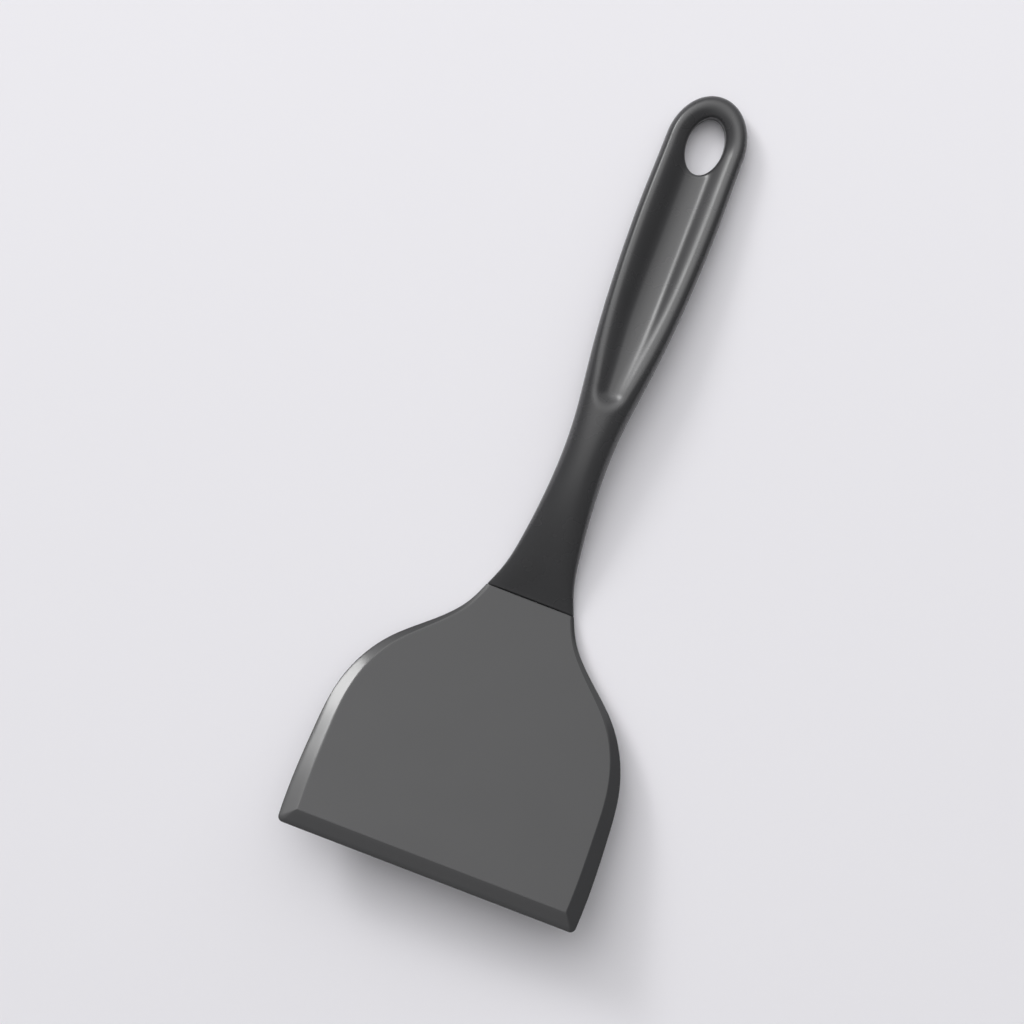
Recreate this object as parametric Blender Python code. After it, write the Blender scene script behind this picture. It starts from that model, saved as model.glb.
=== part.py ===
"""Grill spatula, lying face up: the heel of the blade and the far end of the grip touch the table.

Three solids: the glossy handle with its scooped grip and hanging hole, the satin bevelled blade,
and the stiffening plate inside that keys the two together. Lengths here are millimetres.
Y runs from the blade's front edge to the end of the grip, X across the tool and Z up.
"""

import math

import bmesh
import bpy
import numpy as np

MM = 0.001
QUARTER_TURN = math.pi / 2

# Overall
LENGTH = 263.2
SEAM_Y = 91.0
SEAM_GAP = 0.4
SEAM_ROUND = 0.4
SEAM_LEAN_REACH = 14.0

# Blade, drawn flat and then pitched up about its heel
PITCH = math.radians(15)
HEEL_THICKNESS = 3.5
FRONT_THICKNESS = 3.0
FRONT_BEVEL = 5.0
BEVEL_SLOPE = 0.40
CORNER_RADIUS = 1.8
CORNER_CLOSING = 2.5
HEEL_CHAMFER = 0.45

# Grip
END_CENTRE = 246.5
END_REACH = LENGTH - END_CENTRE
END_HALF_WIDTH = 12.95
SCOOP_START = 146.5
SCOOP_TIP = 162.6
SCOOP_STRETCH = 1.37
FOLD_ROUND = 1.4
BOWL = 0.032
BOTTOM_POWER = 2.7
MID_SHARE = 0.42

# Hanging hole, an ellipse through the far end of the grip
HOLE_CENTRE = 246.6
HOLE_HALF_WIDTH = 5.95
HOLE_HALF_LENGTH = 9.45
LIP_RADIUS = 0.9

# Stiffening plate and the posts that lock it
PLATE_THICKNESS = 1.0
PLATE_FRONT = 58.0
PLATE_BACK = 141.0
CLEARANCE = 0.3
BEND_START = SEAM_Y - 2.0
BEND_END = SEAM_Y + 8.0
POST_CLEARANCE = 0.3
POST_REACH = 4.0
BLADE_POSTS = ((-7.0, 72.0), (7.0, 72.0))
BLADE_POST_RADIUS = 2.2
NECK_POSTS = ((0.0, 110.0), (0.0, 128.0))
NECK_POST_RADIUS = 1.5

# Mesh fineness of the handle: steps across a section, then rows along it
EDGE_STEPS = 6
SLOPE_STEPS = 3
FLOOR_STEPS = 12
BELLY_STEPS = 4
FLOOR_SHARE = 0.862
FIRST_SECTION = SEAM_Y + SEAM_GAP + SEAM_ROUND
TIP_START = 148.5
TIP_END = 178.5
HOLE_START = 230.5
NECK_ROWS = 12
TIP_ROWS = 14
GRIP_ROWS = 8
SIDE_ROWS = 4
END_ROWS = 8
TOP_RING_STEPS = 3
UNDER_RING_STEPS = 2
LIP_STEPS = 3

# Mesh fineness of the blade and the plate
SIDE_STEPS = 26
CORNER_STEPS = 4
PLATE_BLADE_ROWS = 6
PLATE_BEND_ROWS = 8
PLATE_NECK_ROWS = 8
POST_SIDES = 20

SHARP_ANGLE = math.radians(35)
SLOPE_PROBE = 0.05
TINY = 1e-6
MERGE_DISTANCE = 1e-7
SHORTEST_EDGE = 1e-8

# Finishes
NYLON_COLOUR = (0.046, 0.046, 0.048)
STEEL_COLOUR = (0.5, 0.5, 0.5)
GLOSS_ROUGHNESS = 0.27
SATIN_ROUGHNESS = 0.35


def hermite(t, start, end, start_slope, end_slope):
    """A cubic from start to end as t goes from 0 to 1, with these slopes at its ends."""
    return (
        (1 + 2 * t) * (1 - t) ** 2 * start
        + t * (1 - t) ** 2 * start_slope
        + t * t * (3 - 2 * t) * end
        + t * t * (t - 1) * end_slope
    )


def smooth_curve(*knots, end_slope=None):
    """A cubic spline through (position, value) knots, natural at its ends unless end_slope is given."""
    at = np.array([knot[0] for knot in knots], float)
    value = np.array([knot[1] for knot in knots], float)
    count = len(at)
    step = np.diff(at)
    rise = np.diff(value) / step
    left = np.zeros((count, count))
    right = np.zeros(count)
    left[0, :2] = (2, 1)
    right[0] = 3 * rise[0]
    left[-1, -2:] = (1, 2)
    right[-1] = 3 * rise[-1]
    if end_slope is not None:
        left[-1, -2:] = (0, 1)
        right[-1] = end_slope
    for i in range(1, count - 1):
        left[i, i - 1 : i + 2] = (step[i], 2 * (step[i - 1] + step[i]), step[i - 1])
        right[i] = 3 * (step[i] * rise[i - 1] + step[i - 1] * rise[i])
    slope = np.linalg.solve(left, right)

    def value_at(x):
        x = min(max(x, at[0]), at[-1])
        i = min(max(int(np.searchsorted(at, x)) - 1, 0), count - 2)
        t = (x - at[i]) / step[i]
        return hermite(t, value[i], value[i + 1], step[i] * slope[i], step[i] * slope[i + 1])

    return value_at


def slope_of(curve, x):
    """Slope of a curve at x, read over a short step."""
    return (curve(x + SLOPE_PROBE) - curve(x - SLOPE_PROBE)) / (2 * SLOPE_PROBE)


def spaced(end, *stretches):
    """Positions up to end. Each stretch is its start and the number of steps to the next one's start."""
    stops = [start for start, _ in stretches[1:]] + [end]
    places = []
    for (start, steps), stop in zip(stretches, stops):
        places += [start + (stop - start) * i / steps for i in range(steps)]
    return places + [end]


# Half-width of the blade, of the neck and grip, and of the plate, seen from above
blade_half_width = smooth_curve(
    (0, 49.65), (12, 49.98), (30.5, 49.4), (44.5, 47.9), (56.5, 43.5),
    (66.5, 36.0), (74.5, 26.95), (82.5, 19.3), (SEAM_Y, 14.95),
)
grip_half_width = smooth_curve(
    (91.3, 14.8), (99.5, 11.85), (108.5, 10.05), (121.5, 8.5), (137.5, 7.6), (151.5, 8.05),
    (166.5, 9.75), (182.5, 11.5), (202.5, 12.75), (224.5, 13.25), (END_CENTRE, END_HALF_WIDTH),
    end_slope=0,
)
plate_half_width = smooth_curve(
    (PLATE_FRONT, 17.0), (74, 13.5), (86, 9.6), (96, 7.4), (112, 5.2), (PLATE_BACK, 4.0)
)
# Width of the blade's side bevel, measured square to the edge
side_bevel = smooth_curve(
    (0, FRONT_BEVEL), (32.5, 4.45), (48.5, 3.75), (62.5, 2.6), (74.5, 1.6), (SEAM_Y, 1.15)
)
# Side view of the neck and grip, and how square the top of their section is
top_line = smooth_curve(
    (91.3, 4.1), (104.5, 8.4), (120.5, 13.0), (138.5, 16.2), (156.5, 17.4), (180.5, 16.8),
    (215.5, 14.1), (LENGTH, 9.8),
)
under_line = smooth_curve(
    (91.3, 0.25), (104.5, 1.9), (120.5, 4.6), (138.5, 6.5), (156.5, 7.0), (180.5, 5.8),
    (215.5, 2.5), (250.5, -0.37), (LENGTH, -0.41),
)
top_power = smooth_curve(
    (91.3, 3.4), (115.5, 2.6), (140.5, 2.2), (158.5, 2.4), (177.5, 2.9), (200.5, 3.0), (LENGTH, 3.0)
)
# The scoop: its floor's depth under the top line, how far out the floor folds up into the wall, how
# steep the wall is, and how far apart in height the dome and the wall may be where the ridge between
# them is still rounded
floor_drop = smooth_curve(
    (SCOOP_START, 1.4), (160, 1.9), (166.5, 2.5), (173, 2.95), (181.5, 3.55), (191.5, 4.5),
    (202.5, 5.3), (215.5, 5.75), (LENGTH, 6.1),
)
fold_place = smooth_curve(
    (SCOOP_START, 1.9), (165.5, 2.1), (172.5, 2.6), (181.5, 3.4), (191.5, 3.9), (202.5, 4.0),
    (LENGTH, 4.0),
)
wall_slope = smooth_curve(
    (SCOOP_START, 0.57), (166, 0.57), (172, 0.58), (180, 0.65), (191, 0.70), (205, 0.64),
    (LENGTH, 0.60),
)
ridge_blend = smooth_curve((SCOOP_START, 4.0), (165.5, 4.8), (177, 8.2), (192, 10), (LENGTH, 10))
# Where the mesh follows the ridge round the scoop, as a share of the half-width
ridge_share = smooth_curve(
    (91.3, 0.62), (140.5, 0.52), (156.5, 0.38), (161.5, 0.44), (166.5, 0.55), (175.5, 0.68),
    (188.5, 0.745), (206.5, 0.765), (END_CENTRE, 0.765),
)


def across(x, y):
    """0 on the centreline and 1 on the handle's outline, which is half an ellipse past END_CENTRE."""
    if y <= END_CENTRE:
        return min(abs(x) / grip_half_width(y), 1.0)
    return min(math.hypot(x / END_HALF_WIDTH, (y - END_CENTRE) / END_REACH), 1.0)


def middle(y):
    """Height of the widest line of the section."""
    return under_line(y) + MID_SHARE * (top_line(y) - under_line(y))


def lip_fall(x, y):
    """How far the rounded lip of the hanging hole has fallen at this point."""
    dx = x / HOLE_HALF_WIDTH
    dy = (y - HOLE_CENTRE) / HOLE_HALF_LENGTH
    ratio = max(math.hypot(dx, dy), TINY)
    slope = math.hypot(dx / HOLE_HALF_WIDTH, dy / HOLE_HALF_LENGTH) / ratio
    away = max((ratio - 1) / max(slope, TINY), 0.0)
    if away >= LIP_RADIUS:
        return 0.0
    return LIP_RADIUS - math.sqrt(max(LIP_RADIUS**2 - (LIP_RADIUS - away) ** 2, 0.0))


def smooth_lower(a, b, blend):
    """The lower of two heights, rounded where they are less than blend apart."""
    overlap = max(blend - abs(a - b), 0.0) / blend
    return min(a, b) - overlap**3 * blend / 6


def scoop_reach(x, y):
    """How far this point is from the scoop's middle line, which ends near the neck and at the hole."""
    if y < SCOOP_TIP:
        return math.hypot(x, SCOOP_TIP - y)
    if y > END_CENTRE:
        return math.hypot(x, (y - END_CENTRE) / SCOOP_STRETCH)
    return abs(x)


def folded(away):
    """0 short of the fold at 0 and level with away past it, with a round between them."""
    if abs(away) >= FOLD_ROUND:
        return max(away, 0.0)
    return (away + FOLD_ROUND) ** 2 / (4 * FOLD_ROUND)


def top_height(x, y):
    """Upper surface: a domed section, cut by the scoop along a rounded ridge."""
    power = top_power(y)
    rise = (1 - across(x, y) ** power) ** (1 / power)
    dome = middle(y) + (top_line(y) - middle(y)) * rise
    if y < SCOOP_START:
        return dome
    reach = scoop_reach(x, y)
    wall = wall_slope(y) * folded(reach - fold_place(y))
    scoop = top_line(y) - floor_drop(y) + BOWL * reach**2 + wall
    return smooth_lower(dome, scoop, ridge_blend(y)) - lip_fall(x, y)


def under_height(x, y):
    """Lower surface: a rounded belly."""
    depth = (1 - across(x, y) ** BOTTOM_POWER) ** (1 / BOTTOM_POWER)
    return middle(y) - (middle(y) - under_line(y)) * depth + lip_fall(x, y)


def material(name, colour, roughness, metallic=0.0):
    made = bpy.data.materials.new(name)
    made.use_nodes = True
    shader = made.node_tree.nodes["Principled BSDF"]
    shader.inputs["Base Color"].default_value = (*colour, 1)
    shader.inputs["Roughness"].default_value = roughness
    shader.inputs["Metallic"].default_value = metallic
    return made


def solid(name, points, faces, finish=None, origin_y=LENGTH / 2):
    """An object from millimetre points, merged where they meet, with its origin at origin_y."""
    mesh = bpy.data.meshes.new(name)
    placed = [(x * MM, (y - origin_y) * MM, z * MM) for x, y, z in points]
    mesh.from_pydata(placed, [], faces)
    work = bmesh.new()
    work.from_mesh(mesh)
    bmesh.ops.remove_doubles(work, verts=work.verts, dist=MERGE_DISTANCE)
    bmesh.ops.dissolve_degenerate(work, edges=work.edges, dist=SHORTEST_EDGE)
    bmesh.ops.recalc_face_normals(work, faces=work.faces)
    if work.calc_volume(signed=True) < 0:
        bmesh.ops.reverse_faces(work, faces=work.faces)
    work.to_mesh(mesh)
    work.free()
    mesh.shade_smooth()
    mesh.set_sharp_from_angle(angle=SHARP_ANGLE)
    if finish:
        mesh.materials.append(finish)
    made = bpy.data.objects.new(name, mesh)
    bpy.context.scene.collection.objects.link(made)
    return made


def patch(points, faces, rows):
    """Adds a grid of quads from equal rows of points."""
    first = len(points)
    width = len(rows[0])
    for row in rows:
        points.extend(row)
    for i in range(len(rows) - 1):
        for j in range(width - 1):
            a = first + i * width + j
            faces.append((a, a + 1, a + width + 1, a + width))


def cap(points, faces, ring):
    """Adds one face from a ring of points."""
    faces.append(tuple(range(len(points), len(points) + len(ring))))
    points.extend(ring)


def shares(y, steps_out, steps_in):
    """Places across the section at y, from the outline in to the ridge and down to the floor's edge.

    With no steps_in they go straight from the outline to the floor's edge.
    """
    ridge = ridge_share(min(y, END_CENTRE))
    floor = FLOOR_SHARE * ridge
    if not steps_in:
        return [
            floor + (1 - floor) * math.cos(QUARTER_TURN * i / steps_out) for i in range(steps_out + 1)
        ]
    outer = [ridge + (1 - ridge) * math.cos(QUARTER_TURN * i / steps_out) for i in range(steps_out)]
    return outer + [ridge + (floor - ridge) * i / steps_in for i in range(steps_in + 1)]


def section(y, height, steps_out, steps_in):
    """One section's points at y, from the right side to the left."""
    width = grip_half_width(y)
    side = [share * width for share in shares(y, steps_out, steps_in)]
    floor = [side[-1] * (1 - 2 * i / FLOOR_STEPS) for i in range(1, FLOOR_STEPS)]
    line = side + floor + [-x for x in reversed(side)]
    return [(x, y, height(x, y)) for x in line]


def seam_sections(first):
    """The two smaller sections in front of the first one, which round the seam's edge."""
    centre = middle(FIRST_SECTION)
    made = []
    for angle in (QUARTER_TURN, QUARTER_TURN / 2):
        y = FIRST_SECTION - SEAM_ROUND * math.sin(angle)
        inset = SEAM_ROUND * (1 - math.cos(angle))
        narrow = 1 - inset / grip_half_width(FIRST_SECTION)
        shallow = 1 - inset / (HEEL_THICKNESS / 2)
        made.append([(x * narrow, y, centre + (z - centre) * shallow) for x, _, z in first])
    return made


def half_surface(height, steps_out, steps_in):
    """The upper or the lower surface's sections, from the seam to HOLE_START."""
    rows = spaced(HOLE_START, (FIRST_SECTION, NECK_ROWS), (TIP_START, TIP_ROWS), (TIP_END, GRIP_ROWS))
    sections = [section(y, height, steps_out, steps_in) for y in rows]
    return seam_sections(sections[0]) + sections


def end_ray(station, share):
    """A point on the band that wraps round the grip's end: station 0 is the right side at HOLE_START."""
    last = 2 * (SIDE_ROWS + END_ROWS)
    turn = station - SIDE_ROWS
    if 0 <= turn <= 2 * END_ROWS:
        angle = QUARTER_TURN * turn / END_ROWS
        return (
            share * END_HALF_WIDTH * math.cos(angle),
            END_CENTRE + share * END_REACH * math.sin(angle),
        )
    rows = station if turn < 0 else last - station
    y = HOLE_START + (END_CENTRE - HOLE_START) * rows / SIDE_ROWS
    x = share * grip_half_width(y)
    return (x, y) if turn < 0 else (-x, y)


def end_band(height, steps_out, steps_in):
    """Rows of points round the end of the grip, from the outline in to the floor's edge."""
    rows = []
    for station in range(2 * (SIDE_ROWS + END_ROWS) + 1):
        y = end_ray(station, 1.0)[1]
        places = [end_ray(station, share) for share in shares(y, steps_out, steps_in)]
        rows.append([(px, py, height(px, py)) for px, py in places])
    return rows


def hole_ring(rim, height, steps):
    """Rows from each rim point in to the hanging hole, with the last steps over its rounded lip."""
    rows = []
    for x, y, _ in rim:
        angle = math.atan2((y - HOLE_CENTRE) / HOLE_HALF_LENGTH, x / HOLE_HALF_WIDTH)
        hx = HOLE_HALF_WIDTH * math.cos(angle)
        hy = HOLE_CENTRE + HOLE_HALF_LENGTH * math.sin(angle)
        reach = math.hypot(x - hx, y - hy)
        away = [reach + (LIP_RADIUS - reach) * i / steps for i in range(steps + 1)]
        away += [
            LIP_RADIUS * (1 - math.sin(QUARTER_TURN * i / LIP_STEPS)) for i in range(1, LIP_STEPS + 1)
        ]
        places = [(hx + (x - hx) * d / reach, hy + (y - hy) * d / reach) for d in away]
        rows.append([(px, py, height(px, py)) for px, py in places])
    return rows


def seam_lean(y):
    """How much of the seam's slant the section at y still has."""
    return max(0.0, 1 - (y - SEAM_Y) / SEAM_LEAN_REACH) ** 2


def handle_mesh():
    """The handle: its two surfaces, the band round its end, and the rings in to the hanging hole."""
    points, faces = [], []
    seam_rows, hole_edges = [], []
    for height, steps_out, steps_in, ring_steps in (
        (top_height, EDGE_STEPS, SLOPE_STEPS, TOP_RING_STEPS),
        (under_height, BELLY_STEPS, 0, UNDER_RING_STEPS),
    ):
        sections = half_surface(height, steps_out, steps_in)
        band = end_band(height, steps_out, steps_in)
        floor_from = steps_out + steps_in
        floor_edge = sections[-1][floor_from : floor_from + FLOOR_STEPS + 1]
        rim = [row[-1] for row in band] + floor_edge[-2::-1]
        ring = hole_ring(rim, height, ring_steps)
        for rows in (sections, band, ring):
            patch(points, faces, rows)
        seam_rows.append(sections[0])
        hole_edges.append([row[-1] for row in ring])
    patch(points, faces, hole_edges)
    top_row, under_row = seam_rows
    cap(points, faces, top_row + under_row[-2:0:-1])
    leant = [(x, y + seam_lean(y) * z * math.tan(PITCH), z) for x, y, z in points]
    return leant, faces


def blade_outline():
    """Right half of the blade seen from above, from heel to front centre.

    Each entry is a point of the edge, the matching point inside the bevel, and the bevel's width there.
    """
    heel = SEAM_Y - HEEL_CHAMFER
    bevel = side_bevel(SEAM_Y)
    width = blade_half_width(SEAM_Y)
    entries = [((width, SEAM_Y), (width - bevel, heel), bevel)]
    last_side = FRONT_BEVEL + CORNER_CLOSING
    for y in spaced(last_side, (SEAM_Y, SIDE_STEPS))[1:]:
        width = blade_half_width(y)
        slope = slope_of(blade_half_width, y)
        bevel = side_bevel(y)
        inwards = bevel / math.hypot(slope, 1)
        entries.append(((width, y), (width - inwards, min(y + inwards * slope, heel)), bevel))
    width = blade_half_width(FRONT_BEVEL)
    corner = (width - FRONT_BEVEL, FRONT_BEVEL)
    entries.append(((width, FRONT_BEVEL), corner, FRONT_BEVEL))
    corner_x = blade_half_width(0) - CORNER_RADIUS
    for i in range(CORNER_STEPS + 1):
        angle = QUARTER_TURN * i / CORNER_STEPS
        edge = (corner_x + CORNER_RADIUS * math.cos(angle), CORNER_RADIUS * (1 - math.sin(angle)))
        entries.append((edge, corner, FRONT_BEVEL))
    entries.append(((0.0, 0.0), (0.0, FRONT_BEVEL), FRONT_BEVEL))
    return entries


def blade_thickness(y):
    return FRONT_THICKNESS + (HEEL_THICKNESS - FRONT_THICKNESS) * y / SEAM_Y


def blade_mesh():
    """The blade lying flat, with its heel at y = 0 and its front towards -y."""
    half = blade_outline()
    other = [((-edge[0], edge[1]), (-face[0], face[1]), bevel) for edge, face, bevel in half[-2::-1]]
    bottom, lip, top = [], [], []
    for (edge_x, edge_y), (face_x, face_y), bevel in half + other:
        flat_y = (edge_y - SEAM_Y) / math.cos(PITCH)
        bottom.append((edge_x, flat_y, 0.0))
        lip.append((edge_x, flat_y, blade_thickness(edge_y) - BEVEL_SLOPE * bevel))
        top.append((face_x, (face_y - SEAM_Y) / math.cos(PITCH), blade_thickness(face_y)))
    points, faces = [], []
    patch(points, faces, [line + line[:1] for line in (bottom, lip, top)])
    for line in (bottom, top):
        cap(points, faces, [point for k, point in enumerate(line) if point != line[k - 1]])
    return points, faces


def height_in_blade(y):
    """Height of the middle of the blade's heel, carried forward along its pitch."""
    return (SEAM_Y - y) * math.tan(PITCH) + HEEL_THICKNESS / 2 / math.cos(PITCH)


def height_in_neck(y):
    return (top_line(y) + under_line(y)) / 2


def plate_height(y):
    """Height of the plate's middle: straight in the blade, bent at the heel, midway through the neck."""
    if y <= BEND_START:
        return height_in_blade(y)
    if y >= BEND_END:
        return height_in_neck(y)
    span = BEND_END - BEND_START
    return hermite(
        (y - BEND_START) / span,
        height_in_blade(BEND_START),
        height_in_neck(BEND_END),
        span * slope_of(height_in_blade, BEND_START),
        span * slope_of(height_in_neck, BEND_END),
    )


def plate_mesh(grow):
    """The plate as a bent strip, grown by this much on every side to cut its pocket."""
    half_thickness = PLATE_THICKNESS / 2 + grow
    rows = []
    for y in spaced(
        PLATE_BACK + grow,
        (PLATE_FRONT - grow, PLATE_BLADE_ROWS),
        (BEND_START, PLATE_BEND_ROWS),
        (BEND_END, PLATE_NECK_ROWS),
    ):
        x = plate_half_width(y) + grow
        z = plate_height(y)
        slope = slope_of(plate_height, y)
        out_z = half_thickness / math.hypot(slope, 1)
        out_y = -slope * out_z
        upper = [(x, y + out_y, z + out_z), (-x, y + out_y, z + out_z)]
        lower = [(-x, y - out_y, z - out_z), (x, y - out_y, z - out_z)]
        rows.append(upper + lower)
    points, faces = [], []
    patch(points, faces, [row + row[:1] for row in rows])
    cap(points, faces, rows[0])
    cap(points, faces, rows[-1])
    return points, faces


def post(name, x, y, radius):
    """A round cutter that stands square to the plate."""
    turns = [4 * QUARTER_TURN * i / POST_SIDES for i in range(POST_SIDES)]
    centre = plate_height(y)
    slope = slope_of(plate_height, y)
    levels = []
    for rise in (-POST_REACH, POST_REACH):
        middle_y = y - slope * rise
        height = centre + rise
        levels.append(
            [(x + radius * math.cos(a), middle_y + radius * math.sin(a), height) for a in turns]
        )
    points, faces = [], []
    patch(points, faces, [level + level[:1] for level in levels])
    for level in levels:
        cap(points, faces, level)
    return hidden(solid(name, points, faces))


def hidden(cutter):
    cutter.hide_render = True
    cutter.display_type = "WIRE"
    return cutter


def cut(target, cutter):
    step = target.modifiers.new(cutter.name, "BOOLEAN")
    step.operation = "DIFFERENCE"
    step.solver = "EXACT"
    step.object = cutter


def main():
    for old in list(bpy.data.objects):
        bpy.data.objects.remove(old)

    gloss = material("handle_gloss_nylon", NYLON_COLOUR, GLOSS_ROUGHNESS)
    satin = material("blade_satin_nylon", NYLON_COLOUR, SATIN_ROUGHNESS)
    steel = material("core_plate_steel", STEEL_COLOUR, SATIN_ROUGHNESS, metallic=1.0)

    handle = solid("handle", *handle_mesh(), gloss)
    blade = solid("blade", *blade_mesh(), satin, origin_y=0)
    blade.location.y = (SEAM_Y - LENGTH / 2) * MM
    blade.rotation_euler.x = -PITCH
    plate = solid("core_plate", *plate_mesh(0.0), steel)
    pocket = hidden(solid("pocket_cutter", *plate_mesh(CLEARANCE)))

    posts = [(x, y, BLADE_POST_RADIUS) for x, y in BLADE_POSTS]
    posts += [(x, y, NECK_POST_RADIUS) for x, y in NECK_POSTS]
    for k, (x, y, radius) in enumerate(posts):
        cut(plate, post(f"plate_hole_{k}", x, y, radius + POST_CLEARANCE))
        cut(pocket, post(f"post_core_{k}", x, y, radius))
    cut(handle, pocket)
    cut(blade, pocket)


main()
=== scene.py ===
"""Looks of the grill spatula: a glossy nylon handle and a satin bevelled blade on a pale table.

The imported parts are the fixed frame. The handle and the blade are drawn again here from the curves
that shape them, as fine meshes with rounded edges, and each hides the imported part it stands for.
Shapes are in millimetres until they go into a mesh: X across the tool, Y from the blade's front edge
to the end of the grip, Z up from the table.
"""

import math

import bmesh
import bpy
import numpy as np
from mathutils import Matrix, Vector


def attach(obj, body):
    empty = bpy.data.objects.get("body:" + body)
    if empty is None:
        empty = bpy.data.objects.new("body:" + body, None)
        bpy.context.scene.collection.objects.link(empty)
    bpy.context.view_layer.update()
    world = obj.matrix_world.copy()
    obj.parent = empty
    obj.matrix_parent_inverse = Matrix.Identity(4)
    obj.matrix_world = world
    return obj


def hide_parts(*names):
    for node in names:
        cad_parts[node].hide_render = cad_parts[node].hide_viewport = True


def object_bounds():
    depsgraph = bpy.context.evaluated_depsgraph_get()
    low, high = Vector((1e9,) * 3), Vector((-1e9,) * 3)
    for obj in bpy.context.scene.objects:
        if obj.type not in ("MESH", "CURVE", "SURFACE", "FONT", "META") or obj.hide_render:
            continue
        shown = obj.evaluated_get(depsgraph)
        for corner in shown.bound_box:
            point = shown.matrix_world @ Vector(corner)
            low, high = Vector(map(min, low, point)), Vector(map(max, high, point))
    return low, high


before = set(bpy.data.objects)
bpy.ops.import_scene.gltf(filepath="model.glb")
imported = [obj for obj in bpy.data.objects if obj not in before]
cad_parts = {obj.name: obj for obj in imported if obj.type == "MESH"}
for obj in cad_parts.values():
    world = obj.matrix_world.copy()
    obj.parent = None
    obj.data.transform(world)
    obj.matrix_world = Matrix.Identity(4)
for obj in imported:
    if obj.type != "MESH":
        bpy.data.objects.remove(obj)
cad_low, cad_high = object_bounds()

MM = 0.001
QUARTER_TURN = math.pi / 2

# Overall: the front edge and the length come from the frame, and the seam parts blade and handle
FRONT_EDGE = cad_low.y
LENGTH = (cad_high.y - cad_low.y) / MM
SEAM_Y = 91.0
SEAM_GAP = 0.02
SEAM_ROUND = 0.5
SEAM_LEAN_REACH = 14.0

# Blade
PITCH = math.radians(15)
HEEL_THICKNESS = 3.5
FRONT_THICKNESS = 3.0
FRONT_BEVEL = 5.0
BEVEL_SLOPE = 0.40
CORNER_RADIUS = 1.8
CORNER_CLOSING = 2.5
HEEL_CHAMFER = 0.12
UNDER_ROUND = 0.3
EDGE_ROUND = 0.4
FACE_ROUND = 1.6
FLAT_MARGIN = 0.5
# The most of a narrow bevel that its edge's rounding and its face's rounding may take
EDGE_ROUND_SHARE = 0.5
FACE_ROUND_SHARE = 0.4

# Grip
END_CENTRE = 246.5
END_REACH = LENGTH - END_CENTRE
END_HALF_WIDTH = 12.95
SCOOP_START = 146.5
SCOOP_TIP = 162.6
SCOOP_STRETCH = 1.37
FOLD_ROUND = 1.4
BOWL = 0.032
BOTTOM_POWER = 2.7
MID_SHARE = 0.42

# Hanging hole
HOLE_CENTRE = 246.6
HOLE_HALF_WIDTH = 5.95
HOLE_HALF_LENGTH = 9.45
LIP_RADIUS = 0.9

PLATE_CLEARANCE = 0.3

# Mesh fineness: steps across a section, rows along the handle, then the blade's edge
EDGE_STEPS = 18
SLOPE_STEPS = 14
FLOOR_STEPS = 44
BELLY_STEPS = 18
FLOOR_SHARE = 0.862
FIRST_SECTION = SEAM_Y + SEAM_GAP + SEAM_ROUND
TIP_START = 148.5
TIP_END = 178.5
HOLE_START = 230.5
NECK_ROWS = 60
TIP_ROWS = 50
GRIP_ROWS = 50
SIDE_ROWS = 16
END_ROWS = 34
RING_STEPS = 10
LIP_STEPS = 8
WALL_STEPS = 6
SIDE_STEPS = 110
CORNER_STEPS = 12
FRONT_STEPS = 24
HEEL_STEPS = 12
ROUND_STEPS = 5
BEVEL_STEPS = 4

SHARP_ANGLE = math.radians(40)
SATIN_ANGLE = math.radians(6)
SLOPE_PROBE = 0.05
TINY = 1e-6
MERGE_DISTANCE = 1e-7
SHORTEST_EDGE = 1e-8

# Colours: the nylons and their rubbed edges, the steel's darker and paler lines, the floor's clouds
HANDLE_COLOUR = (0.044, 0.044, 0.046)
BLADE_COLOUR = (0.045, 0.045, 0.047)
RUBBED_COLOUR = (0.054, 0.054, 0.056)
STEEL_DARK = (0.46, 0.46, 0.47)
STEEL_PALE = (0.58, 0.58, 0.59)
FLOOR_COLOUR = (0.870, 0.860, 0.898)
FLOOR_PALER = (0.875, 0.865, 0.903)

# Nylon: clouds of colour, smudges in the gloss, fine grain, and the swell that moulding leaves.
# Scales are in cycles a metre, roughly, and depths in metres
CLOUD_SCALE = 45.0
CLOUD_GAIN = 1.06
SMUDGE_SCALE = 90.0
SMUDGE_SPREAD = 0.07
SWELL_SCALE = 160.0
GRAIN_DEPTH = 0.00002
SWELL_DEPTH = 0.0002
WEAR_FROM = 0.53
WEAR_TO = 0.62
NYLON_IOR = 1.53

# Steel, brushed along the tool
BRUSH_SCALE = 2500.0
BRUSH_STRETCH = (1.0, 0.03, 1.0)
BRUSH_STRENGTH = 0.3
STEEL_SMOOTHEST = 0.26
STEEL_ROUGHEST = 0.42

# Table top
TABLE_CLOUD_SCALE = 6.0
TABLE_GRAIN_SCALE = 900.0
TABLE_GRAIN_STRENGTH = 0.05
TABLE_GRAIN_DEPTH = 0.00005
TABLE_ROUGHNESS = 0.9
TABLE_SPECULAR = 0.1

# Camera
CAMERA_HEIGHT = 0.95
CAMERA_CENTRE = (-0.0156, -0.0156)
CAMERA_TURN = math.radians(21.05)
VIEW_WIDTH = 0.3277
SENSOR_WIDTH = 36.0

# Light and floor
FLOOR_SIZE = 6.0
WORLD_LIGHT = 0.12
# Broad glows overhead: degrees down from overhead, degrees round from +X, reach in degrees, radiance
GLOWS = (
    (23, 124, 46, 2.45),
    (14, -90, 25, 0.45),
    (50, 143, 36, 2.3),
)
# Each soft box: degrees down from overhead, degrees round from +X, distance, width, height, radiance
SOFT_BOXES = {
    "key": (55.5, 149, 1.8, 0.44, 0.44, 13.0),
    "back_panel": (60, 80, 0.9, 1.0, 0.8, 0.6),
}


# Curves and heights


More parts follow.
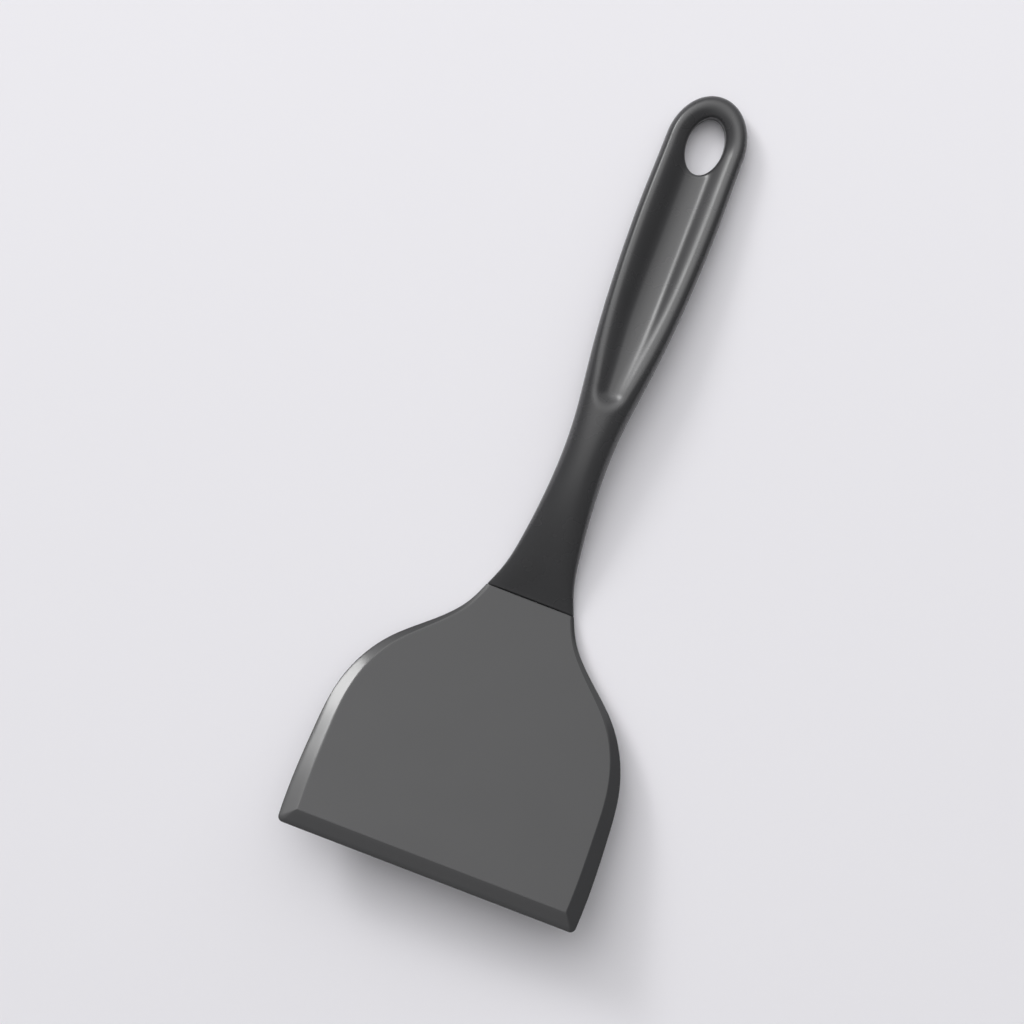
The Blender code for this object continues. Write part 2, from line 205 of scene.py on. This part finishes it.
def hermite(t, start, end, start_slope, end_slope):
    """A cubic from start to end as t goes from 0 to 1, with these slopes at its ends."""
    return (
        (1 + 2 * t) * (1 - t) ** 2 * start
        + t * (1 - t) ** 2 * start_slope
        + t * t * (3 - 2 * t) * end
        + t * t * (t - 1) * end_slope
    )


def smooth_curve(*knots, end_slope=None):
    """A cubic spline through (position, value) knots, natural at its ends unless end_slope is given."""
    at = np.array([knot[0] for knot in knots], float)
    value = np.array([knot[1] for knot in knots], float)
    count = len(at)
    step = np.diff(at)
    rise = np.diff(value) / step
    left = np.zeros((count, count))
    right = np.zeros(count)
    left[0, :2] = (2, 1)
    right[0] = 3 * rise[0]
    left[-1, -2:] = (1, 2)
    right[-1] = 3 * rise[-1]
    if end_slope is not None:
        left[-1, -2:] = (0, 1)
        right[-1] = end_slope
    for i in range(1, count - 1):
        left[i, i - 1 : i + 2] = (step[i], 2 * (step[i - 1] + step[i]), step[i - 1])
        right[i] = 3 * (step[i] * rise[i - 1] + step[i - 1] * rise[i])
    slope = np.linalg.solve(left, right)

    def value_at(x):
        x = min(max(x, at[0]), at[-1])
        i = min(max(int(np.searchsorted(at, x)) - 1, 0), count - 2)
        t = (x - at[i]) / step[i]
        return hermite(t, value[i], value[i + 1], step[i] * slope[i], step[i] * slope[i + 1])

    return value_at


def slope_of(curve, x):
    """Slope of a curve at x, read over a short step."""
    return (curve(x + SLOPE_PROBE) - curve(x - SLOPE_PROBE)) / (2 * SLOPE_PROBE)


def spaced(end, *stretches):
    """Positions up to end. Each stretch is its start and the number of steps to the next one's start."""
    stops = [start for start, _ in stretches[1:]] + [end]
    places = []
    for (start, steps), stop in zip(stretches, stops):
        places += [start + (stop - start) * i / steps for i in range(steps)]
    return places + [end]


# Half-width of the blade seen from above, and the width of its side bevel square to the edge
blade_half_width = smooth_curve(
    (0, 49.65), (12, 49.98), (30.5, 49.4), (44.5, 47.9), (56.5, 43.5),
    (66.5, 36.0), (74.5, 26.95), (82.5, 19.3), (SEAM_Y, 14.95),
)
side_bevel = smooth_curve(
    (0, FRONT_BEVEL), (32.5, 4.45), (48.5, 3.75), (62.5, 2.6), (74.5, 1.6), (SEAM_Y, 1.15)
)
# Half-width of the neck and grip seen from above, their side view, and how square their top is
grip_half_width = smooth_curve(
    (91.3, 14.8), (99.5, 11.85), (108.5, 10.05), (121.5, 8.5), (137.5, 7.6), (151.5, 8.05),
    (166.5, 9.75), (182.5, 11.5), (202.5, 12.75), (224.5, 13.25), (END_CENTRE, END_HALF_WIDTH),
    end_slope=0,
)
top_line = smooth_curve(
    (91.3, 4.1), (104.5, 8.4), (120.5, 13.0), (138.5, 16.2), (156.5, 17.4), (180.5, 16.8),
    (215.5, 14.1), (LENGTH, 9.8),
)
under_line = smooth_curve(
    (91.3, 0.25), (104.5, 1.9), (120.5, 4.6), (138.5, 6.5), (156.5, 7.0), (180.5, 5.8),
    (215.5, 2.5), (250.5, -0.37), (LENGTH, -0.41),
)
top_power = smooth_curve(
    (91.3, 3.4), (115.5, 2.6), (140.5, 2.2), (158.5, 2.4), (177.5, 2.9), (200.5, 3.0), (LENGTH, 3.0)
)
# The scoop: its floor's depth under the top line, how far out the floor folds up into the wall, how
# steep the wall is, and how far apart in height the dome and the wall may be where the ridge between
# them is still rounded
floor_drop = smooth_curve(
    (SCOOP_START, 1.4), (160, 1.9), (166.5, 2.5), (173, 2.95), (181.5, 3.55), (191.5, 4.5),
    (202.5, 5.3), (215.5, 5.75), (LENGTH, 6.1),
)
fold_place = smooth_curve(
    (SCOOP_START, 1.9), (165.5, 2.1), (172.5, 2.6), (181.5, 3.4), (191.5, 3.9), (202.5, 4.0),
    (LENGTH, 4.0),
)
wall_slope = smooth_curve(
    (SCOOP_START, 0.57), (166, 0.57), (172, 0.58), (180, 0.65), (191, 0.70), (205, 0.64),
    (LENGTH, 0.60),
)
ridge_blend = smooth_curve((SCOOP_START, 4.0), (165.5, 4.8), (177, 8.2), (192, 10), (LENGTH, 10))
# Where the mesh follows the ridge round the scoop, as a share of the half-width
ridge_share = smooth_curve(
    (91.3, 0.62), (140.5, 0.52), (156.5, 0.38), (161.5, 0.44), (166.5, 0.55), (175.5, 0.68),
    (188.5, 0.745), (206.5, 0.765), (END_CENTRE, 0.765),
)


def across(x, y):
    """0 on the centreline and 1 on the handle's outline, which is half an ellipse past END_CENTRE."""
    if y <= END_CENTRE:
        return min(abs(x) / grip_half_width(y), 1.0)
    return min(math.hypot(x / END_HALF_WIDTH, (y - END_CENTRE) / END_REACH), 1.0)


def middle(y):
    """Height of the widest line of the section."""
    return under_line(y) + MID_SHARE * (top_line(y) - under_line(y))


def lip_fall(x, y):
    """How far the rounded lip of the hanging hole has fallen at this point."""
    dx = x / HOLE_HALF_WIDTH
    dy = (y - HOLE_CENTRE) / HOLE_HALF_LENGTH
    ratio = max(math.hypot(dx, dy), TINY)
    slope = math.hypot(dx / HOLE_HALF_WIDTH, dy / HOLE_HALF_LENGTH) / ratio
    away = max((ratio - 1) / max(slope, TINY), 0.0)
    if away >= LIP_RADIUS:
        return 0.0
    return LIP_RADIUS - math.sqrt(max(LIP_RADIUS**2 - (LIP_RADIUS - away) ** 2, 0.0))


def smooth_lower(a, b, blend):
    """The lower of two heights, rounded where they are less than blend apart."""
    overlap = max(blend - abs(a - b), 0.0) / blend
    return min(a, b) - overlap**3 * blend / 6


def scoop_reach(x, y):
    """How far this point is from the scoop's middle line, which ends near the neck and at the hole."""
    if y < SCOOP_TIP:
        return math.hypot(x, SCOOP_TIP - y)
    if y > END_CENTRE:
        return math.hypot(x, (y - END_CENTRE) / SCOOP_STRETCH)
    return abs(x)


def folded(away):
    """0 short of the fold at 0 and level with away past it, with a round between them."""
    if abs(away) >= FOLD_ROUND:
        return max(away, 0.0)
    return (away + FOLD_ROUND) ** 2 / (4 * FOLD_ROUND)


def top_height(x, y):
    """Upper surface: a domed section, cut by the scoop along a rounded ridge."""
    power = top_power(y)
    rise = (1 - across(x, y) ** power) ** (1 / power)
    dome = middle(y) + (top_line(y) - middle(y)) * rise
    if y < SCOOP_START:
        return dome
    reach = scoop_reach(x, y)
    wall = wall_slope(y) * folded(reach - fold_place(y))
    scoop = top_line(y) - floor_drop(y) + BOWL * reach**2 + wall
    return smooth_lower(dome, scoop, ridge_blend(y)) - lip_fall(x, y)


def under_height(x, y):
    """Lower surface: a rounded belly."""
    depth = (1 - across(x, y) ** BOTTOM_POWER) ** (1 / BOTTOM_POWER)
    return middle(y) - (middle(y) - under_line(y)) * depth + lip_fall(x, y)


# Mesh helpers


def patch(points, faces, rows):
    """Adds a grid of quads from equal rows of points."""
    first = len(points)
    width = len(rows[0])
    for row in rows:
        points.extend(row)
    for i in range(len(rows) - 1):
        for j in range(width - 1):
            a = first + i * width + j
            faces.append((a, a + 1, a + width + 1, a + width))


def cap(points, faces, ring):
    """Adds one face from a ring of points."""
    faces.append(tuple(range(len(points), len(points) + len(ring))))
    points.extend(ring)


def tidy(work):
    """Merges the points where patches meet, and turns every face outwards."""
    bmesh.ops.remove_doubles(work, verts=work.verts, dist=MERGE_DISTANCE)
    bmesh.ops.dissolve_degenerate(work, edges=work.edges, dist=SHORTEST_EDGE)
    bmesh.ops.recalc_face_normals(work, faces=work.faces)
    if work.calc_volume(signed=True) < 0:
        bmesh.ops.reverse_faces(work, faces=work.faces)


def piece(name, points, faces, finish):
    """An object whose points are already in metres, in the frame."""
    mesh = bpy.data.meshes.new(name)
    mesh.from_pydata(points, [], faces)
    work = bmesh.new()
    work.from_mesh(mesh)
    tidy(work)
    work.to_mesh(mesh)
    work.free()
    mesh.shade_smooth()
    mesh.set_sharp_from_angle(angle=SHARP_ANGLE)
    mesh.materials.append(finish)
    made = bpy.data.objects.new(name, mesh)
    bpy.context.scene.collection.objects.link(made)
    return made


# Handle


def shares(y, steps_out, steps_in):
    """Places across the section at y, from the outline in to the ridge and down to the floor's edge.

    With no steps_in they go straight from the outline to the floor's edge.
    """
    ridge = ridge_share(min(y, END_CENTRE))
    floor = FLOOR_SHARE * ridge
    if not steps_in:
        return [
            floor + (1 - floor) * math.cos(QUARTER_TURN * i / steps_out) for i in range(steps_out + 1)
        ]
    outer = [ridge + (1 - ridge) * math.cos(QUARTER_TURN * i / steps_out) for i in range(steps_out)]
    return outer + [ridge + (floor - ridge) * i / steps_in for i in range(steps_in + 1)]


def section(y, height, steps_out, steps_in):
    """One section's points at y, from the right side to the left."""
    width = grip_half_width(y)
    side = [share * width for share in shares(y, steps_out, steps_in)]
    floor = [side[-1] * (1 - 2 * i / FLOOR_STEPS) for i in range(1, FLOOR_STEPS)]
    line = side + floor + [-x for x in reversed(side)]
    return [(x, y, height(x, y)) for x in line]


def seam_sections(first):
    """The smaller sections in front of the first one, which round the seam's edge."""
    centre = middle(FIRST_SECTION)
    made = []
    for i in range(ROUND_STEPS, 0, -1):
        angle = QUARTER_TURN * i / ROUND_STEPS
        y = FIRST_SECTION - SEAM_ROUND * math.sin(angle)
        inset = SEAM_ROUND * (1 - math.cos(angle))
        narrow = 1 - inset / grip_half_width(FIRST_SECTION)
        shallow = 1 - inset / (HEEL_THICKNESS / 2)
        made.append([(x * narrow, y, centre + (z - centre) * shallow) for x, _, z in first])
    return made


def half_surface(height, steps_out, steps_in):
    """The upper or the lower surface's sections, from the seam to HOLE_START."""
    rows = spaced(HOLE_START, (FIRST_SECTION, NECK_ROWS), (TIP_START, TIP_ROWS), (TIP_END, GRIP_ROWS))
    sections = [section(y, height, steps_out, steps_in) for y in rows]
    return seam_sections(sections[0]) + sections


def end_ray(station, share):
    """A point on the band that wraps round the grip's end: station 0 is the right side at HOLE_START."""
    last = 2 * (SIDE_ROWS + END_ROWS)
    turn = station - SIDE_ROWS
    if 0 <= turn <= 2 * END_ROWS:
        angle = QUARTER_TURN * turn / END_ROWS
        return (
            share * END_HALF_WIDTH * math.cos(angle),
            END_CENTRE + share * END_REACH * math.sin(angle),
        )
    rows = station if turn < 0 else last - station
    y = HOLE_START + (END_CENTRE - HOLE_START) * rows / SIDE_ROWS
    x = share * grip_half_width(y)
    return (x, y) if turn < 0 else (-x, y)


def end_band(height, steps_out, steps_in):
    """Rows of points round the end of the grip, from the outline in to the floor's edge."""
    rows = []
    for station in range(2 * (SIDE_ROWS + END_ROWS) + 1):
        y = end_ray(station, 1.0)[1]
        places = [end_ray(station, share) for share in shares(y, steps_out, steps_in)]
        rows.append([(px, py, height(px, py)) for px, py in places])
    return rows


def hole_ring(rim, height):
    """Rows from each rim point in to the hanging hole, with the last steps over its rounded lip."""
    rows = []
    for x, y, _ in rim:
        angle = math.atan2((y - HOLE_CENTRE) / HOLE_HALF_LENGTH, x / HOLE_HALF_WIDTH)
        hx = HOLE_HALF_WIDTH * math.cos(angle)
        hy = HOLE_CENTRE + HOLE_HALF_LENGTH * math.sin(angle)
        reach = math.hypot(x - hx, y - hy)
        away = [reach + (LIP_RADIUS - reach) * i / RING_STEPS for i in range(RING_STEPS + 1)]
        away += [
            LIP_RADIUS * (1 - math.sin(QUARTER_TURN * i / LIP_STEPS)) for i in range(1, LIP_STEPS + 1)
        ]
        places = [(hx + (x - hx) * d / reach, hy + (y - hy) * d / reach) for d in away]
        rows.append([(px, py, height(px, py)) for px, py in places])
    return rows


def hole_wall(top_edge, under_edge):
    """Rows of points down the wall of the hanging hole."""
    rows = []
    for i in range(WALL_STEPS + 1):
        share = i / WALL_STEPS
        row = []
        for (x, y, top_z), (_, _, under_z) in zip(top_edge, under_edge):
            row.append((x, y, top_z + (under_z - top_z) * share))
        rows.append(row)
    return rows


def seam_lean(y):
    """How much of the seam's slant the section at y still has."""
    return max(0.0, 1 - (y - SEAM_Y) / SEAM_LEAN_REACH) ** 2


def make_handle(finish):
    """The handle: its two surfaces, the band round its end, and the rings in to the hanging hole."""
    points, faces = [], []
    seam_rows, hole_edges = [], []
    for height, steps_out, steps_in in (
        (top_height, EDGE_STEPS, SLOPE_STEPS),
        (under_height, BELLY_STEPS, 0),
    ):
        sections = half_surface(height, steps_out, steps_in)
        band = end_band(height, steps_out, steps_in)
        floor_from = steps_out + steps_in
        floor_edge = sections[-1][floor_from : floor_from + FLOOR_STEPS + 1]
        rim = [row[-1] for row in band] + floor_edge[-2::-1]
        ring = hole_ring(rim, height)
        for rows in (sections, band, ring):
            patch(points, faces, rows)
        seam_rows.append(sections[0])
        hole_edges.append([row[-1] for row in ring])
    patch(points, faces, hole_wall(*hole_edges))
    top_row, under_row = seam_rows
    cap(points, faces, top_row + under_row[-2:0:-1])
    placed = []
    for x, y, z in points:
        leant_y = y + seam_lean(y) * z * math.tan(PITCH)
        placed.append((x * MM, FRONT_EDGE + leant_y * MM, z * MM))
    return piece("handle_body", placed, faces, finish)


# Blade


def blade_outline():
    """The right half of the blade seen from above, from the heel's centre to the front's centre.

    Each entry is a point of the edge, the matching point where the bevel meets the face, the bevel's
    width, how far its lip lies under the face, and the way in from there across the face.
    """
    heel = SEAM_Y - HEEL_CHAMFER
    width = blade_half_width(SEAM_Y)
    bevel = side_bevel(SEAM_Y)
    drop = BEVEL_SLOPE * bevel
    entries = []
    for i in range(HEEL_STEPS):
        share = i / HEEL_STEPS
        face = ((width - bevel) * share, heel)
        entries.append(((width * share, SEAM_Y), face, HEEL_CHAMFER, drop, (0, -1)))
    entries.append(((width, SEAM_Y), (width - bevel, heel), bevel, drop, (-1, -1)))
    last_side = FRONT_BEVEL + CORNER_CLOSING
    for y in spaced(last_side, (SEAM_Y, SIDE_STEPS))[1:]:
        width = blade_half_width(y)
        slope = slope_of(blade_half_width, y)
        size = math.hypot(slope, 1)
        bevel = side_bevel(y)
        face = (width - bevel / size, min(y + bevel * slope / size, heel))
        entries.append(((width, y), face, bevel, BEVEL_SLOPE * bevel, (-1 / size, slope / size)))
    width = blade_half_width(FRONT_BEVEL)
    drop = BEVEL_SLOPE * FRONT_BEVEL
    corner = (width - FRONT_BEVEL, FRONT_BEVEL)
    entries.append(((width, FRONT_BEVEL), corner, FRONT_BEVEL, drop, (-1, 1)))
    corner_x = blade_half_width(0) - CORNER_RADIUS
    for i in range(CORNER_STEPS + 1):
        angle = QUARTER_TURN * i / CORNER_STEPS
        edge = (corner_x + CORNER_RADIUS * math.cos(angle), CORNER_RADIUS * (1 - math.sin(angle)))
        entries.append((edge, corner, FRONT_BEVEL, drop, (-1, 1)))
    for i in range(1, FRONT_STEPS + 1):
        share = 1 - i / FRONT_STEPS
        face = (corner[0] * share, FRONT_BEVEL)
        entries.append(((corner_x * share, 0.0), face, FRONT_BEVEL, drop, (0, 1)))
    return entries


def blade_thickness(y):
    return FRONT_THICKNESS + (HEEL_THICKNESS - FRONT_THICKNESS) * y / SEAM_Y


def bevel_profile(bevel, drop):
    """(distance in from the edge, depth under the face) from the lip's rounding to the flat face."""
    tilt = math.atan2(drop, bevel)
    turn = QUARTER_TURN - tilt
    radius = min(EDGE_ROUND, EDGE_ROUND_SHARE * bevel)
    tangent = radius * math.tan(turn / 2)
    profile = []
    for i in range(ROUND_STEPS + 1):
        angle = turn * i / ROUND_STEPS
        profile.append((radius * (1 - math.cos(angle)), drop + tangent - radius * math.sin(angle)))
    reach = min(FACE_ROUND * math.tan(tilt / 2), FACE_ROUND_SHARE * bevel)
    face_radius = reach / math.tan(tilt / 2)
    last_in, last_depth = profile[-1]
    start_in = bevel - reach * math.cos(tilt)
    start_depth = reach * math.sin(tilt)
    for i in range(1, BEVEL_STEPS):
        share = i / BEVEL_STEPS
        distance = last_in + (start_in - last_in) * share
        profile.append((distance, last_depth + (start_depth - last_depth) * share))
    for i in range(ROUND_STEPS + 1):
        angle = tilt * (1 - i / ROUND_STEPS)
        distance = bevel + reach - face_radius * math.sin(angle)
        profile.append((distance, face_radius * (1 - math.cos(angle))))
    profile.append((bevel + reach + FLAT_MARGIN, 0.0))
    return profile


def inward(entry, distance):
    """The point this far in from the edge: along the bevel first, then over the face."""
    (edge_x, edge_y), (face_x, face_y), bevel, _, (way_x, way_y) = entry
    if distance <= bevel:
        share = distance / bevel
        return edge_x + (face_x - edge_x) * share, edge_y + (face_y - edge_y) * share
    return face_x + way_x * (distance - bevel), face_y + way_y * (distance - bevel)


def blade_column(entry):
    """Points up one place of the blade's edge, from inside its flat underside to inside its face."""
    _, _, bevel, drop, _ = entry
    column = [(*inward(entry, UNDER_ROUND + FLAT_MARGIN), 0.0)]
    for i in range(ROUND_STEPS + 1):
        angle = QUARTER_TURN * i / ROUND_STEPS
        x, y = inward(entry, UNDER_ROUND * (1 - math.sin(angle)))
        column.append((x, y, UNDER_ROUND * (1 - math.cos(angle))))
    for distance, depth in bevel_profile(bevel, drop):
        x, y = inward(entry, distance)
        column.append((x, y, blade_thickness(y) - depth))
    return column


def make_blade(satin, gloss):
    """The blade, drawn flat with its heel at y = 0, then pitched up about its heel.

    Its upper face is satin, and its bevels and edges are glossier.
    """
    half = [blade_column(entry) for entry in blade_outline()]
    other = [[(-x, y, z) for x, y, z in column] for column in half[-2:0:-1]]
    columns = half + other
    points, faces = [], []
    patch(points, faces, columns + columns[:1])
    for row in (0, -1):
        cap(points, faces, [column[row] for column in columns])
    placed = []
    for x, y, z in points:
        flat_y = (y - SEAM_Y) / math.cos(PITCH)
        across_y = flat_y * math.cos(PITCH) + z * math.sin(PITCH)
        up = z * math.cos(PITCH) - flat_y * math.sin(PITCH)
        placed.append((x * MM, FRONT_EDGE + (SEAM_Y + across_y) * MM, up * MM))
    made = piece("blade_body", placed, faces, satin)
    made.data.materials.append(gloss)
    face_way = Vector((0, math.sin(PITCH), math.cos(PITCH)))
    for polygon in made.data.polygons:
        if polygon.normal.angle(face_way) > SATIN_ANGLE:
            polygon.material_index = 1
    return made


def cut_pocket(*targets):
    """Cuts the space for the stiffening plate: the plate's own shape, grown by its clearance."""
    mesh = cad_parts["core_plate"].data.copy()
    work = bmesh.new()
    work.from_mesh(mesh)
    tidy(work)
    work.normal_update()
    moves = [v.normal * v.calc_shell_factor() * PLATE_CLEARANCE * MM for v in work.verts]
    for vertex, move in zip(work.verts, moves):
        vertex.co += move
    work.to_mesh(mesh)
    work.free()
    cutter = bpy.data.objects.new("pocket_cutter", mesh)
    bpy.context.scene.collection.objects.link(cutter)
    for target in targets:
        step = target.modifiers.new("pocket", "BOOLEAN")
        step.operation = "DIFFERENCE"
        step.solver = "EXACT"
        step.object = cutter
        with bpy.context.temp_override(object=target):
            bpy.ops.object.modifier_apply(modifier=step.name)
    bpy.data.objects.remove(cutter)


# Materials


def new_material(name):
    """A material, its node tree and its Principled shader."""
    made = bpy.data.materials.new(name)
    made.use_nodes = True
    tree = made.node_tree
    return made, tree, tree.nodes["Principled BSDF"]


def noise(tree, place, scale, detail=3.0, roughness=0.5):
    """Soft noise over a place, around a half."""
    node = tree.nodes.new("ShaderNodeTexNoise")
    node.inputs["Scale"].default_value = scale
    node.inputs["Detail"].default_value = detail
    node.inputs["Roughness"].default_value = roughness
    tree.links.new(place, node.inputs["Vector"])
    return node.outputs["Fac"]


def ranged(tree, value, low, high, from_low=0.3, from_high=0.7):
    """Maps a value onto low..high."""
    node = tree.nodes.new("ShaderNodeMapRange")
    node.inputs["From Min"].default_value = from_low
    node.inputs["From Max"].default_value = from_high
    node.inputs["To Min"].default_value = low
    node.inputs["To Max"].default_value = high
    tree.links.new(value, node.inputs["Value"])
    return node.outputs["Result"]


def mixed(tree, share, first, second):
    """A colour between two colours, by share. A colour is three numbers or a socket."""
    node = tree.nodes.new("ShaderNodeMix")
    node.data_type = "RGBA"
    tree.links.new(share, node.inputs["Factor"])
    for name, colour in (("A", first), ("B", second)):
        socket = next(s for s in node.inputs if s.name == name and s.type == "RGBA")
        if isinstance(colour, tuple):
            socket.default_value = (*colour, 1)
        else:
            tree.links.new(colour, socket)
    return next(s for s in node.outputs if s.type == "RGBA")


def bumped(tree, height, strength, distance, normal=None):
    """A normal bent by a height, where distance is the height's range in metres."""
    node = tree.nodes.new("ShaderNodeBump")
    node.inputs["Strength"].default_value = strength
    node.inputs["Distance"].default_value = distance
    tree.links.new(height, node.inputs["Height"])
    if normal is not None:
        tree.links.new(normal, node.inputs["Normal"])
    return node.outputs["Normal"]


def edge_wear(tree, low, high):
    """0 on flat and hollow places, rising to 1 on the sharpest edges."""
    geometry = tree.nodes.new("ShaderNodeNewGeometry")
    return ranged(tree, geometry.outputs["Pointiness"], 0.0, 1.0, low, high)


def nylon(name, colour, roughness, grain_scale, grain, swell):
    """Moulded nylon: faint cloudy colour, fine grain, a soft unevenness and rubbed edges."""
    made, tree, shader = new_material(name)
    place = tree.nodes.new("ShaderNodeTexCoord").outputs["Object"]
    clouds = noise(tree, place, CLOUD_SCALE, detail=4.0, roughness=0.6)
    paler = tuple(channel * CLOUD_GAIN for channel in colour)
    base = mixed(tree, ranged(tree, clouds, 0.0, 1.0), colour, paler)
    worn = edge_wear(tree, WEAR_FROM, WEAR_TO)
    tree.links.new(mixed(tree, worn, base, RUBBED_COLOUR), shader.inputs["Base Color"])
    smudges = noise(tree, place, SMUDGE_SCALE, roughness=0.55)
    smoothest = roughness * (1 - SMUDGE_SPREAD)
    roughest = roughness * (1 + SMUDGE_SPREAD)
    tree.links.new(ranged(tree, smudges, smoothest, roughest), shader.inputs["Roughness"])
    fine = bumped(tree, noise(tree, place, grain_scale, detail=2.0), grain, GRAIN_DEPTH)
    soft = bumped(tree, noise(tree, place, SWELL_SCALE, detail=1.0), swell, SWELL_DEPTH, fine)
    tree.links.new(soft, shader.inputs["Normal"])
    shader.inputs["IOR"].default_value = NYLON_IOR
    return made


def brushed_steel():
    """Stainless sheet, brushed along the tool."""
    made, tree, shader = new_material("core_plate_steel")
    place = tree.nodes.new("ShaderNodeTexCoord").outputs["Object"]
    stretch = tree.nodes.new("ShaderNodeMapping")
    stretch.inputs["Scale"].default_value = BRUSH_STRETCH
    tree.links.new(place, stretch.inputs["Vector"])
    lines = noise(tree, stretch.outputs["Vector"], BRUSH_SCALE, detail=2.0, roughness=0.7)
    tree.links.new(mixed(tree, lines, STEEL_DARK, STEEL_PALE), shader.inputs["Base Color"])
    gloss_range = ranged(tree, lines, STEEL_SMOOTHEST, STEEL_ROUGHEST)
    tree.links.new(gloss_range, shader.inputs["Roughness"])
    tree.links.new(bumped(tree, lines, BRUSH_STRENGTH, GRAIN_DEPTH), shader.inputs["Normal"])
    shader.inputs["Metallic"].default_value = 1.0
    return made


def table_top():
    """A smooth pale board, faintly lilac."""
    made, tree, shader = new_material("table_top")
    place = tree.nodes.new("ShaderNodeTexCoord").outputs["Object"]
    cloudy = ranged(tree, noise(tree, place, TABLE_CLOUD_SCALE), 0.0, 1.0)
    tree.links.new(mixed(tree, cloudy, FLOOR_COLOUR, FLOOR_PALER), shader.inputs["Base Color"])
    grain = noise(tree, place, TABLE_GRAIN_SCALE, detail=2.0)
    grainy = bumped(tree, grain, TABLE_GRAIN_STRENGTH, TABLE_GRAIN_DEPTH)
    tree.links.new(grainy, shader.inputs["Normal"])
    shader.inputs["Roughness"].default_value = TABLE_ROUGHNESS
    shader.inputs["Specular IOR Level"].default_value = TABLE_SPECULAR
    return made


# Studio


def make_floor():
    """A plain square floor at the height the tool rests on."""
    half = FLOOR_SIZE / 2
    points, faces = [], []
    patch(points, faces, [[(x, y, 0.0) for x in (-half, half)] for y in (-half, half)])
    mesh = bpy.data.meshes.new("floor")
    mesh.from_pydata(points, [], faces)
    mesh.materials.append(table_top())
    floor = bpy.data.objects.new("floor", mesh)
    bpy.context.scene.collection.objects.link(floor)


def way_to(down, around):
    """The direction this many degrees down from overhead and round from +X."""
    down = math.radians(down)
    around = math.radians(around)
    return Vector(
        (math.sin(down) * math.cos(around), math.sin(down) * math.sin(around), math.cos(down))
    )


def soft_box(name, down, around, distance, width, height, radiance):
    """A rectangular lamp that faces the middle of the table, placed by its direction."""
    way = way_to(down, around)
    lamp = bpy.data.lights.new(name, "AREA")
    lamp.shape = "RECTANGLE"
    lamp.size = width
    lamp.size_y = height
    lamp.energy = math.pi * width * height * radiance
    made = bpy.data.objects.new(name, lamp)
    made.location = way * distance
    made.rotation_euler = way.to_track_quat("Z", "Y").to_euler()
    bpy.context.scene.collection.objects.link(made)


def math_node(tree, operation, first, second=None):
    """A maths node on one or two values. A value is a number or a socket."""
    node = tree.nodes.new("ShaderNodeMath")
    node.operation = operation
    for socket, value in zip(node.inputs, (first, second)):
        if isinstance(value, (int, float)):
            socket.default_value = value
        elif value is not None:
            tree.links.new(value, socket)
    return node.outputs["Value"]


def make_world():
    """A dim room with broad glows overhead, like light through a diffusing tent."""
    world = bpy.data.worlds.new("studio")
    world.use_nodes = True
    tree = world.node_tree
    place = tree.nodes.new("ShaderNodeTexCoord").outputs["Generated"]
    total = WORLD_LIGHT
    for down, around, reach, radiance in GLOWS:
        facing = tree.nodes.new("ShaderNodeVectorMath")
        facing.operation = "DOT_PRODUCT"
        facing.inputs[1].default_value = way_to(down, around)
        tree.links.new(place, facing.inputs[0])
        away = math_node(tree, "ARCCOSINE", facing.outputs["Value"])
        glow = tree.nodes.new("ShaderNodeMapRange")
        glow.interpolation_type = "SMOOTHSTEP"
        glow.inputs["From Min"].default_value = math.radians(reach)
        glow.inputs["From Max"].default_value = 0.0
        glow.inputs["To Max"].default_value = radiance
        tree.links.new(away, glow.inputs["Value"])
        total = math_node(tree, "ADD", glow.outputs["Result"], total)
    tree.links.new(total, tree.nodes["Background"].inputs["Strength"])
    tree.nodes["Background"].inputs["Color"].default_value = (1.0, 1.0, 1.0, 1.0)
    bpy.context.scene.world = world


def make_camera():
    """Straight above the table, turned so that the tool leans to the right."""
    lens = bpy.data.cameras.new("camera")
    lens.sensor_width = SENSOR_WIDTH
    lens.lens = SENSOR_WIDTH * CAMERA_HEIGHT / VIEW_WIDTH
    camera = bpy.data.objects.new("camera", lens)
    camera.location = (*CAMERA_CENTRE, CAMERA_HEIGHT)
    camera.rotation_euler = (0, 0, CAMERA_TURN)
    bpy.context.scene.collection.objects.link(camera)
    bpy.context.scene.camera = camera


def take_over(made, node):
    """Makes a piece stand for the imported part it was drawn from."""
    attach(made, "root")
    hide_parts(node)


make_camera()
make_world()
make_floor()
for box_name, placing in SOFT_BOXES.items():
    soft_box(box_name, *placing)
bpy.context.scene.view_settings.view_transform = "Standard"

gloss = nylon(
    "handle_gloss_nylon", HANDLE_COLOUR, roughness=0.27, grain_scale=5200.0, grain=0.05, swell=0.02
)
satin = nylon(
    "blade_satin_nylon", BLADE_COLOUR, roughness=0.34, grain_scale=3800.0, grain=0.18, swell=0.02
)
edge_gloss = nylon(
    "blade_edge_nylon", BLADE_COLOUR, roughness=0.15, grain_scale=3800.0, grain=0.05, swell=0.02
)
handle = make_handle(gloss)
blade = make_blade(satin, edge_gloss)
cut_pocket(handle, blade)
take_over(handle, "handle")
take_over(blade, "blade")

core_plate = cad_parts["core_plate"]
core_plate.material_slots[0].material = brushed_steel()
